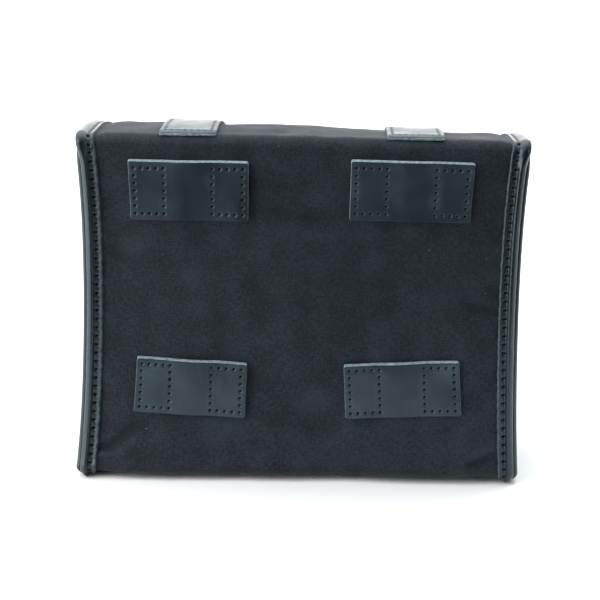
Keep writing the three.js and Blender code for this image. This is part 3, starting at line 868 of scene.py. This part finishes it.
def band(name, path, side, eared):
    """The leather turned over the canvas along one side, with its cut edge inwards."""
    ss = np.linspace(0, path.length, int(path.length / BAND_STEP))
    section = blended_section(ss) if eared else np.broadcast_to(TURNED, (len(ss),) + TURNED.shape)
    across, n = np.moveaxis(section, -1, 0)
    cut = (across[:-1] < 0.45) & (n[:-1] > 0.2)
    x = CUT_EDGE + across
    s = np.broadcast_to(ss[:, None], x.shape)
    bump = np.where(n > 0.4, seam_relief(x, s), 0)
    # Painted highlight, partly wear: the cut lip is made lighter through tone.
    lip_wear_and_highlight = 0.14 * gauss((across - 0.6) / 0.45) * (n > 0.5)
    # Painted shade: the recessed stitch channel is darkened through tone.
    channel_painted_shade = 0.2 * gauss((across - 3.4) / 1.1) * (n > 0.5)
    tone = bump / SEAM_PIT + lip_wear_and_highlight - channel_painted_shade
    n = n + bump
    hand_cut = 0.12 * np.sin(s * 0.9) + 0.1 * np.sin(s * 0.37)
    x = x + np.where(across < 1, hand_cut, 0)
    rings = soften(path(s, side * x, n))
    shape = Shape(pit_slot=2)
    shape.loft(rings, np.stack([side * (x + n), s], -1), np.where(cut, 1, 0), tone=tone)
    return shape.build(name, [SIDE, LIP_EDGE, HOLE_SHADE])


def seam_threads(name, path, side):
    """The running stitch that holds a leather band on the canvas."""
    holes = hole_run((side * SEAM, SEAM_PITCH), (side * SEAM, path.length - 2), SEAM_PITCH)
    holes[:, 1] = SEAM_PITCH * np.arange(1, len(holes) + 1)
    shape = Shape()
    add_threads(shape, holes, lambda u, v, n: soften(path(v, u, n)), CHANNEL)
    return shape.build(name, [THREAD])


# ---------- side panels ----------
PANEL_TUCK = 1.2  # the panel's edge is tucked in behind the bead
TOP_TUCK = 1.2  # its top edge is drawn in under the lid's ears
PANEL_TOP_RADIUS = 9  # rear top corner
GROOVE = CUT_EDGE + 10.1  # the groove beside the bead
LIP = 2.5  # how far the panel's rolled edge stands out from that groove
PANEL_THICK = 2.0
UNDER_MOUTH = 0.8  # its top edge under the mouth


def gathered(count, both_ends):
    """Values from 0 to 1 that lie closer together near 0, or near 0 and 1."""
    t = np.linspace(-1, 1 if both_ends else 0, count)
    spread = np.tanh(2 * t) / math.tanh(2)
    return (spread + 1) / (2 if both_ends else 1)


def side_panel(name, side):
    """One stiff side. a runs from back to front and b from the floor to the mouth."""
    back, front, base = BACK + PANEL_TUCK, FRONT - PANEL_TUCK, 0.4
    top_back = MOUTH_BACK - UNDER_MOUTH

    def place(a, b, n):
        y = back + (front - back) * a
        top = top_back - LID_SLOPE * (y - BACK)
        z = base + (top - base) * b
        edge = np.minimum(np.minimum(y - back, front - y), z - base)
        corners = ((back, base, BOTTOM_RADIUS), (front, base, BOTTOM_RADIUS),
                   (back, top_back, PANEL_TOP_RADIUS))
        for corner_y, corner_z, radius in corners:
            in_y = np.sign(back + front - 2 * corner_y)
            in_z = 1 if corner_z == base else -1
            out_y = np.maximum(radius - in_y * (y - corner_y), 0)
            out_z = np.maximum(radius - in_z * (z - corner_z), 0)
            both = (out_y > 0) & (out_z > 0)
            reach = np.maximum(np.hypot(out_y, out_z), 1e-9)
            keep = np.where(both, np.maximum(out_y, out_z) / reach, 1)
            edge = np.where(both, radius - reach * keep, edge)
            y = y + in_y * out_y * (1 - keep)
            z = z + in_z * out_z * (1 - keep)
        lip = LIP * np.sqrt(1 - (1 - np.clip(edge / 3, 0, 1)) ** 2)
        bulge = 0.9 * smooth((edge - 6) / 40) * smooth((top - z) / 50)
        lip = lip - TOP_TUCK * smooth(1 - (top - z) / 15)
        x = GROOVE + lip + bulge + n + 0.3 * middling(y + 90, z) * smooth(edge / 20)
        return soften(points(side * x, y, z))

    shape = Shape()
    slab(shape, gathered(72, True), gathered(96, False), place, -PANEL_THICK, 0, rim=0.001,
         rim_slot=1)
    return shape.build(name, [SIDE, DARK_EDGE])


for side_name, side in SIDES.items():
    panel = side_panel(f"side_leather_{side_name}", side)
    on_body(panel, "bag", "side_leather", f"side_panel_{side_name}")
    edge = band(f"edge_band_{side_name}", wrap, side, True)
    over_hinge(edge, "side_leather", f"lid_edge_{side_name}")
    low_band = band(f"under_band_{side_name}", under, side, False)
    on_body(low_band, "bag", "side_leather")
    over_hinge(seam_threads(f"edge_stitches_{side_name}", wrap, side), "side_leather")
    on_body(seam_threads(f"under_stitches_{side_name}", under, side), "bag", "side_leather")

# ---------- rack loops ----------
LOOP_THICK = 2.4
LOOP_RISE = 1.2
LOOP_SAG = 0.5  # the outer face hangs this much lower than the inner one, per millimetre
BOX_COLUMNS, BOX_ROWS = 5, 7
BOX_PITCH = 4.65
BOX_MARGIN = 3.4
LOOPS = {  # size, tilt in degrees, and how far each corner lifts, left to right, bottom to top
    "upper_left": ((73.5, 36.0), 0.2, (0.0, 2.0, 0.0, 1.8)),
    "upper_right": ((73.8, 36.2), -0.6, (1.6, 0.0, 1.4, 0.1)),
    "lower_left": ((70.0, 35.0), -2.0, (0.0, 1.2, 0.1, 1.5)),
    "lower_right": ((72.0, 34.5), 3.0, (1.5, 0.1, 1.6, 0.4)),
}


def box_holes(outer, inward):
    """Holes round one stitched box, as a closed run, from its outer side inwards."""
    inner = outer + inward * BOX_PITCH * (BOX_COLUMNS - 1)
    half = BOX_PITCH * (BOX_ROWS - 1) / 2
    corners = [(inner, -half), (outer, -half), (outer, half), (inner, half), (inner, -half)]
    runs = [hole_run(start, end, BOX_PITCH)[:-1] for start, end in zip(corners, corners[1:])]
    return np.concatenate(runs + [[corners[0]]])


def rack_loop(where):
    """A thick leather patch sewn down by a box at each end, with an open tunnel between."""
    node = f"rack_loop_{where}"
    low, high = span(node)
    centre = (low + high) / 2
    (length, height), tilt, lifts = LOOPS[where]
    cos, sin = math.cos(math.radians(tilt)), math.sin(math.radians(tilt))

    def place(u, v, n):
        arch = LOOP_RISE * smooth((18 - np.abs(u)) / 16)
        a, b = u / length + 0.5, v / height + 0.5
        corner = (lifts[0] * (1 - a) * (1 - b) + lifts[1] * a * (1 - b)
                  + lifts[2] * (1 - a) * b + lifts[3] * a * b)
        curl = corner * smooth((np.abs(u) - 6) / 28) + 0.1
        x = centre[0] + u * cos - v * sin
        z = centre[2] + u * sin + v * cos
        return soften(wrap(BACK_S + z - LOOP_SAG * n, x, n + arch + curl))

    edge = length / 2 - BOX_MARGIN
    boxes = [box_holes(-edge, 1), box_holes(edge, -1)]
    reliefs = [pucker(holes, width=0.74) for holes in boxes]

    def relief(u, v):
        return sum(r(u, v) for r in reliefs) + 0.08 * fine(u + 3 * centre[0], v + centre[2])

    shape = Shape(pit_slot=2)
    us = np.linspace(-length / 2, length / 2, 180)
    vs = np.linspace(-height / 2, height / 2, 88)
    slab(shape, us, vs, place, 0, LOOP_THICK, rim=0.35, corner=1.2, relief=relief, pit=PIT,
         rim_slot=1)
    on_body(shape.build(f"loop_{where}", [LOOP, EDGE, HOLE_SHADE]), "bag", "strap_leather", node)
    stitches = Shape()
    for holes in boxes:
        add_threads(stitches, holes, place, LOOP_THICK - 0.2)
    on_body(stitches.build(f"loop_stitches_{where}", [THREAD]), "bag", "strap_leather")


for where in LOOPS:
    rack_loop(where)


# ---------- lid straps and tongues ----------
BAR_RADIUS = 1.7  # of the buckle's wire
BAR_Y, BAR_Z = (frame_low[1] + frame_high[1]) / 2, frame_high[2] - BAR_RADIUS
ROLLER_Z = frame_low[2] + BAR_RADIUS
EYE_RADIUS = 4.4  # of the strap's face round the buckle's bar
STRAP_THICK = 2.2
STRAP_WIDE, STRAP_NARROW = 34.0, 25.0
TAPER_TOP, TAPER_BOTTOM = 170, 150  # heights between which the strap narrows
TONGUE_THICK = 2.2
SLOT_HALF = 2.1  # half the width of the openings for the prong
STRAP_START = 8.0  # rear end of a strap, from the start of its path
strap_path = Path([
    (BACK, lid_line(BACK) - FOLD_RADIUS / math.tan(math.radians(49)), 0),
    (BACK, lid_line(BACK), FOLD_RADIUS),
    (FLAP_FRONT, lid_line(FLAP_FRONT), LID_RADIUS),
    (FLAP_FRONT + 0.3, BAR_Z - EYE_RADIUS, EYE_RADIUS - 0.2),
    (BAR_Y + EYE_RADIUS, BAR_Z - EYE_RADIUS, EYE_RADIUS - 0.2),
    (BAR_Y + EYE_RADIUS, BAR_Z + EYE_RADIUS, 3.4),
    (BAR_Y + 0.4, BAR_Z + EYE_RADIUS, 2.4),
    (BAR_Y - 0.6, BAR_Z + 14, 0),
], -1)
tongue_low, tongue_high = span("tongue_right")
TONGUE_TOP = span("tongue_end_right")[1][2]
TONGUE_REST = BAR_Y - EYE_RADIUS + STRAP_THICK + 0.5  # on the strap's face
TONGUE_OVER = BAR_Y + EYE_RADIUS + 0.3  # in front of the strap's eye
TONGUE_BACK = tongue_low[1]
tongue_path = Path([
    (TONGUE_REST, TONGUE_TOP, 0),
    (TONGUE_REST, BAR_Z + 18, 8),
    (TONGUE_OVER, BAR_Z + 4, 8),
    (TONGUE_OVER, BAR_Z - 4, 8),
    (TONGUE_BACK, ROLLER_Z + 2, 6),
    (TONGUE_BACK, tongue_low[2], 0),
], -1)


def strap_width(s):
    """Wide on the lid, narrowing down the flap and narrow from the buckle on."""
    z = np.interp(s, strap_path.s, strap_path.line[:, 1])
    past = strap_path.find(FLAP_FRONT, TAPER_BOTTOM)
    taper = np.where(s > past, 1, smooth((TAPER_TOP - z) / (TAPER_TOP - TAPER_BOTTOM)))
    return STRAP_WIDE + (STRAP_NARROW - STRAP_WIDE) * taper


def grid_lines(low, high, step, *must):
    """Evenly spaced values from low to high that also hit the ones that must be there."""
    stops = [low, *must, high]
    runs = [np.linspace(a, b, max(2, int((b - a) / step) + 1))[:-1] for a, b in zip(stops, stops[1:])]
    return np.concatenate(runs + [[high]])


def edge_rows(width, first, last, inset=3.0, pitch=4.3):
    """Stitch holes down one edge, across the end and up the other edge."""
    side = width / 2 - inset
    return np.concatenate([
        hole_run((-side, last), (-side, first), pitch)[:-1],
        hole_run((-side, first), (side, first), pitch)[:-1],
        hole_run((side, first), (side, last), pitch),
    ])


def lid_strap(name, centre):
    """A strap sewn on the lid that runs down, round the buckle's bar and back under itself."""
    bar_start = strap_path.find(FLAP_FRONT, BAR_Z + EYE_RADIUS + 1)
    tail = strap_path.length - 9

    def place(u, v, n):
        thin = 1 - 0.45 * smooth((v - tail) / 8)
        return soften(strap_path(v, centre + u * strap_width(v) / STRAP_WIDE, n * thin + 0.15))

    holes = edge_rows(STRAP_WIDE, STRAP_START + 3.2, strap_path.find(FLAP_FRONT, TAPER_BOTTOM - 8))
    relief_at = pucker(holes)
    shape = Shape(pit_slot=2)
    us = grid_lines(-STRAP_WIDE / 2, STRAP_WIDE / 2, 0.5, -SLOT_HALF, SLOT_HALF)
    vs = grid_lines(STRAP_START, strap_path.length, 0.5, bar_start, tail - 2)
    slab(shape, us, vs, place, 0, STRAP_THICK, rim=0.45, rim_slot=1,
         hole=(-SLOT_HALF, SLOT_HALF, bar_start, tail - 2), pit=PIT,
         relief=lambda u, v: relief_at(u, v) + 0.07 * fine(u + centre, v))
    over_hinge(shape.build(f"lid_strap_{name}", [STRAP, EDGE, HOLE_SHADE]), "strap_leather",
               f"strap_{name}")
    stitches = Shape()
    add_threads(stitches, holes, place, STRAP_THICK - 0.15)
    over_hinge(stitches.build(f"strap_stitches_{name}", [THREAD]), "strap_leather")


def tongue(name, centre):
    """The short strap through the buckle, round at its lower end."""
    half = STRAP_NARROW / 2
    end = tongue_path.length

    def place(u, v, n):
        over = np.maximum(v - (end - half), 0) / half
        width = np.sqrt(np.maximum(1 - over ** 2, 0.0009))
        return tongue_path(v, centre + u * width, n)

    hole_top, hole_bottom = (tongue_path.s[np.argmin(np.abs(tongue_path.line[:, 1] - z))]
                             for z in (BAR_Z - 1, BAR_Z - 19))
    shape = Shape()
    us = grid_lines(-half, half, 0.9, -SLOT_HALF, SLOT_HALF)
    vs = grid_lines(0, end - half, 1.0, hole_top, hole_bottom)
    vs = np.concatenate([vs, end - half + half * np.sin(np.linspace(0, np.pi / 2, 18))[1:]])
    slab(shape, us, vs, place, 0, TONGUE_THICK, rim=0.45, rim_slot=1,
         hole=(-SLOT_HALF, SLOT_HALF, hole_top, hole_bottom))
    piece = shape.build(f"tongue_leather_{name}", [STRAP, EDGE])
    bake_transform(piece)
    finish_piece(piece, "strap_leather", f"tongue_{name}", f"tongue_end_{name}")


KEEPER_THICK = 1.5


def keeper(name, centre):
    """A leather bridge over the strap and the tongue."""
    low, high = span(f"keeper_{name}")
    half = STRAP_NARROW / 2 + 0.6
    top, foot = high[1] - 1.6, low[1]
    reach = (high[0] - low[0]) / 2
    bridge = Path([(-reach, foot, 0), (-half, foot, 1.2), (-half, top, 2.0), (half, top, 2.0),
                   (half, foot, 1.2), (reach, foot, 0)], -1)
    middle = (low[2] + high[2]) / 2

    def place(u, v, n):
        at = bridge(v, u, n)
        return np.stack([centre + at[..., 1], at[..., 2], middle + at[..., 0]], -1)

    shape = Shape()
    half_height = (high[2] - low[2]) / 2
    us = np.linspace(-half_height, half_height, 11)
    slab(shape, us, np.linspace(0, bridge.length, 70), place, 0, KEEPER_THICK, rim=0.35,
         rim_slot=1)
    on_body(shape.build(f"keeper_leather_{name}", [STRAP, EDGE]), "lid", "strap_leather",
            f"keeper_{name}")


# ---------- buckles and snaps ----------
X_AXIS, Y_AXIS = np.array((1.0, 0, 0)), np.array((0, 1.0, 0))
ROLLER_RADIUS = 2.6
EASE = 0.3  # clearance between the prong and the roller
WIRE_SIDES = 16


def wire_ring(shape, line, radii):
    """A round wire along a closed line of points that lies in a plane facing the front."""
    along = np.roll(line, -1, 0) - np.roll(line, 1, 0)
    along /= np.linalg.norm(along, axis=1)[:, None]
    across = np.cross(along, Y_AXIS)
    across /= np.linalg.norm(across, axis=1)[:, None]
    other = np.cross(along, across)
    angle = np.linspace(0, 2 * np.pi, WIRE_SIDES + 1)[:-1, None]
    section = across[:, None] * np.cos(angle) + other[:, None] * np.sin(angle)
    rings = line[:, None] + radii[:, None, None] * section
    shape.loft(np.concatenate([rings, rings[:1]]), caps=False)


def turned(name, centre, profile, axis, sides=48):
    """A turned part: profile is (radius, distance along the axis)."""
    angle = np.linspace(0, 2 * np.pi, sides + 1)[:-1]
    rings = []
    for radius, along in profile:
        circle = np.stack([radius * np.cos(angle), radius * np.sin(angle)], -1)
        ring = np.zeros((sides, 3))
        ring[:, axis] = along
        ring[:, [k for k in range(3) if k != axis]] = circle
        rings.append(centre + ring)
    shape = Shape()
    shape.loft(np.array(rings))
    return shape.build(name, [NICKEL])


def buckle_frame(name, centre):
    """The rectangular wire frame, thinner where the roller turns on it."""
    rail = (frame_high[0] - frame_low[0]) / 2 - BAR_RADIUS
    bend = 3.2
    ring = Path([(0, BAR_Z, 0), (rail, BAR_Z, bend), (rail, ROLLER_Z, bend), (-rail, ROLLER_Z, bend),
                 (-rail, BAR_Z, bend), (0, BAR_Z, 0)], 1)
    s = np.linspace(0, ring.length, 140)[:-1]
    at = ring(s, 0, 0)
    line = np.stack([centre + at[..., 1], np.full(len(s), BAR_Y), at[..., 2]], -1)
    thin = smooth((ROLLER_Z + 3 - line[:, 2]) / 3)
    shape = Shape()
    wire_ring(shape, line, BAR_RADIUS - 0.4 * thin)
    on_body(shape.build(f"buckle_{name}", [NICKEL]), "lid", "nickel", f"buckle_frame_{name}")


def prong(name, centre):
    """A flat prong hooked round the bar, with its tip on the roller."""
    around = np.radians(np.linspace(-55, -360, 40))
    loop_radius = 2.75
    hook = [(BAR_Y + loop_radius * math.cos(a), BAR_Z + loop_radius * math.sin(a)) for a in around]
    tip_y = BAR_Y + ROLLER_RADIUS + EASE + 1.0
    hook += [(BAR_Y + loop_radius + (tip_y - BAR_Y - loop_radius) * t, BAR_Z - (BAR_Z - ROLLER_Z) * t)
             for t in np.linspace(0.06, 1, 24)]
    hook += [(tip_y - 0.15, ROLLER_Z - 1.2), (tip_y - 0.5, ROLLER_Z - 2.2)]
    line = np.array([(centre, y, z) for y, z in hook])
    along = np.gradient(line, axis=0)
    along /= np.linalg.norm(along, axis=1)[:, None]
    out = np.cross(along, X_AXIS)
    width, thick = 3.0, 1.5
    section = stadium(width, thick, 0.6, 5) - (0, thick / 2)
    end = np.array([1.0] * (len(line) - 3) + [0.9, 0.75, 0.4])[:, None, None]
    rings = line[:, None] + end * (X_AXIS * section[:, :1] + out[:, None] * section[:, 1:])
    shape = Shape()
    shape.loft(rings)
    on_body(shape.build(f"prong_{name}", [NICKEL]), "lid", "nickel", f"buckle_prong_{name}")


def roller(name, centre):
    """The sleeve that turns on the frame's lower bar."""
    low, high = span(f"buckle_roller_{name}")
    half = (high[0] - low[0]) / 2
    bore, face, bevel = 1.6, ROLLER_RADIUS - 0.25, 0.35
    profile = [(bore, -half), (face, -half), (ROLLER_RADIUS, -half + bevel)]
    profile += [(ROLLER_RADIUS, x) for x in np.linspace(-half + 1, half - 1, 10)]
    profile += [(ROLLER_RADIUS, half - bevel), (face, half), (bore, half), (bore, -half)]
    sleeve = turned(f"roller_{name}", (centre, BAR_Y, ROLLER_Z), profile, 0)
    on_body(sleeve, f"roller_{name}", "nickel", f"buckle_roller_{name}")


def snap(name, x):
    """The snap's cap on the tongue and its base on the bag."""
    low, high = span(f"snap_cap_{name}")
    centre = np.array((x, 0, (low[2] + high[2]) / 2))
    wide = (high[0] - low[0]) / 2
    back = low[1]
    tongue_back, head = TONGUE_BACK - 0.1, tongue_high[1] + 0.1
    profile = [(0.01, back), (wide - 0.6, back), (wide, back + 0.5), (wide, tongue_back - 0.4),
               (wide - 0.4, tongue_back), (1.6, tongue_back), (1.6, head), (5.3, head),
               (5.5, head + 0.25), (5.3, head + 0.75), (4.6, head + 1.2), (3.2, head + 1.55),
               (1.6, head + 1.75), (0.01, high[1])]
    cap = turned(f"snap_cap_metal_{name}", centre, profile, 1)
    on_body(cap, f"closure_{name}", "nickel", f"snap_cap_{name}")
    low, high = span(f"snap_base_{name}")
    profile = [(0.01, low[1]), (wide, low[1]), (wide, high[1] - 0.6), (wide - 0.6, high[1]),
               (3.4, high[1]), (3.2, high[1] - 0.5), (0.01, high[1] - 0.5)]
    base = turned(f"snap_base_metal_{name}", centre, profile, 1)
    on_body(base, "bag", "nickel", f"snap_base_{name}")


for side_name, side in SIDES.items():
    for part in (lid_strap, tongue, keeper, buckle_frame, prong, roller, snap):
        part(side_name, side * STRAP_X)


# ---------- bindings, lining and boards ----------
BINDING_THICK = 1.0
BINDING_PITCH = 4.3
BINDING_INSET = 3.0  # from its edges to the stitches


def binding(name, node, up):
    """Leather folded over a canvas edge, sewn through."""
    low, high = span(node)
    edge, end = (high[2], low[2]) if up > 0 else (low[2], high[2])
    fold = Path([(low[1] + 1.1, end, 0), (low[1] + 1.1, edge - up * 1.1, 1.2),
                 (high[1] - 1.1, edge - up * 1.1, 1.2), (high[1] - 1.1, end, 0)], up)
    half = high[0]

    def place(u, v, n):
        return soften(fold(v, u, n))

    first = half - BINDING_INSET
    rows = [hole_run((-first, s), (first, s), BINDING_PITCH)
            for s in (BINDING_INSET, fold.length - BINDING_INSET)]

    def relief(u, v):
        along = (u + half - BINDING_INSET) % BINDING_PITCH - BINDING_PITCH / 2
        return sum(-0.25 * gauss(along / 2.4 - 0.9) * gauss(v - row[0, 1]) for row in rows)

    shape = Shape()
    slab(shape, np.linspace(-half, half, 321), np.linspace(0, fold.length, 34), place, 0,
         BINDING_THICK, rim=0.3, rim_slot=1, relief=relief)
    stitches = Shape()
    for row in rows:
        add_threads(stitches, row, place, BINDING_THICK - 0.1, radius=0.35)
    body = "bag" if up > 0 else "lid"
    on_body(shape.build(f"{name}_binding", [BINDING, DARK_EDGE]), body, "binding_leather", node)
    on_body(stitches.build(f"{name}_stitches", [THREAD]), body, "binding_leather")


binding("mouth", "mouth_binding", 1)
binding("flap", "lid_binding", -1)


RING_POINTS = 208


def rounded_ring(half_x, half_y, radius):
    """Evenly spaced points round a rectangle with round corners."""
    sides = []
    for k, (sx, sy) in enumerate([(1, 1), (-1, 1), (-1, -1), (1, -1)]):
        angle = np.radians(90 * k + np.linspace(0, 90, 7))
        corner = np.array((sx * (half_x - radius), sy * (half_y - radius)))
        sides.append(corner + radius * np.stack([np.cos(angle), np.sin(angle)], -1))
    loop = np.concatenate(sides)
    loop = np.concatenate([loop, loop[:1]])
    along = np.concatenate([[0], np.cumsum(np.linalg.norm(np.diff(loop, axis=0), axis=1))])
    s = np.linspace(0, along[-1], RING_POINTS + 1)[:-1]
    return np.stack([np.interp(s, along, loop[:, k]) for k in (0, 1)], -1)


LINING_THICK = 0.9
WRINKLE = 2.2  # depth of the lining's folds


def lining():
    """A cotton bag with a bottom, hanging inside the canvas."""
    low, high = span("lining")
    half_x = cloth_half - 2.5
    middle = (low[1] + high[1]) / 2
    half_y = (high[1] - low[1]) / 2
    back_top, front_top = high[2], mouth_low[2] + 10
    folds = Ripples(57, 26, 70)

    def shell(inset):
        rings = []
        floor_z = low[2] + inset
        steps = [(t, 0) for t in np.linspace(0.05, 0.96, 12)] + [(1, t) for t in np.linspace(0, 1, 60)]
        for spread, rise in steps:
            ring = rounded_ring((half_x - inset) * spread, (half_y - inset) * spread, 7 * spread)
            top = back_top + (front_top - back_top) * (ring[:, 1] / half_y + 1) / 2
            turn = 1 - (1 - min(rise * 14, 1)) ** 2
            z = floor_z + (top - floor_z) * rise
            shrink = 1 - 0.03 * (1 - turn)
            ripple = WRINKLE * np.maximum(1.3 + folds(ring[:, 0] + 2 * ring[:, 1], z), 0.05)
            ripple = ripple * smooth(rise * 6) * smooth((1 - rise) * 9) * spread
            size = np.maximum(np.abs(ring).max(1), 1e-6)
            inward = 1 - ripple / np.maximum(np.hypot(*ring.T), 20) * (size > 5)
            x, y = ring.T * shrink * inward
            rings.append(points(x, middle + y, z))
        return np.array(rings)

    outer, inner = shell(0), shell(LINING_THICK)
    rings = np.concatenate([outer, inner[::-1]])
    around = np.linspace(0, 740, rings.shape[1])
    uv = np.stack(np.broadcast_arrays(around[None], rings[..., 2]), -1)
    shape = Shape()
    shape.loft(soften(rings), uv)
    piece = shape.build("lining_cotton", [LINING])
    on_body(piece, "bag", "lining_cotton", "lining")


lining()


def stiffener(name, across, thick, rows, place):
    """A flat board as wide as the canvas. across and thick are the axes of its CAD box."""
    low, high = span(f"{name}_board")
    shape = Shape()
    us = np.linspace(-cloth_half + 3, cloth_half - 3, 40)
    vs = np.linspace(low[across], high[across], rows)
    slab(shape, us, vs, place, low[thick], high[thick], corner=6)
    on_body(shape.build(f"{name}_stiffener", [BOARD]), "bag", "board_plastic", f"{name}_board")


stiffener("back", 2, 1, 34, lambda u, v, n: soften(points(u, n, v)))
stiffener("base", 1, 2, 20, lambda u, v, n: soften(points(u, v, n)))


def add_floor():
    """White paper under the bag, from a little in front of it to far behind."""
    mesh = bpy.data.meshes.new("floor")
    half, front_edge = 5.0, -0.3
    corners = [(-half, front_edge, 0), (half, front_edge, 0), (half, half, 0), (-half, half, 0)]
    mesh.from_pydata(corners, [], [(0, 1, 2, 3)])
    mesh.materials.append(paper("floor_paper"))
    floor = bpy.data.objects.new("floor", mesh)
    bpy.context.scene.collection.objects.link(floor)


add_floor()
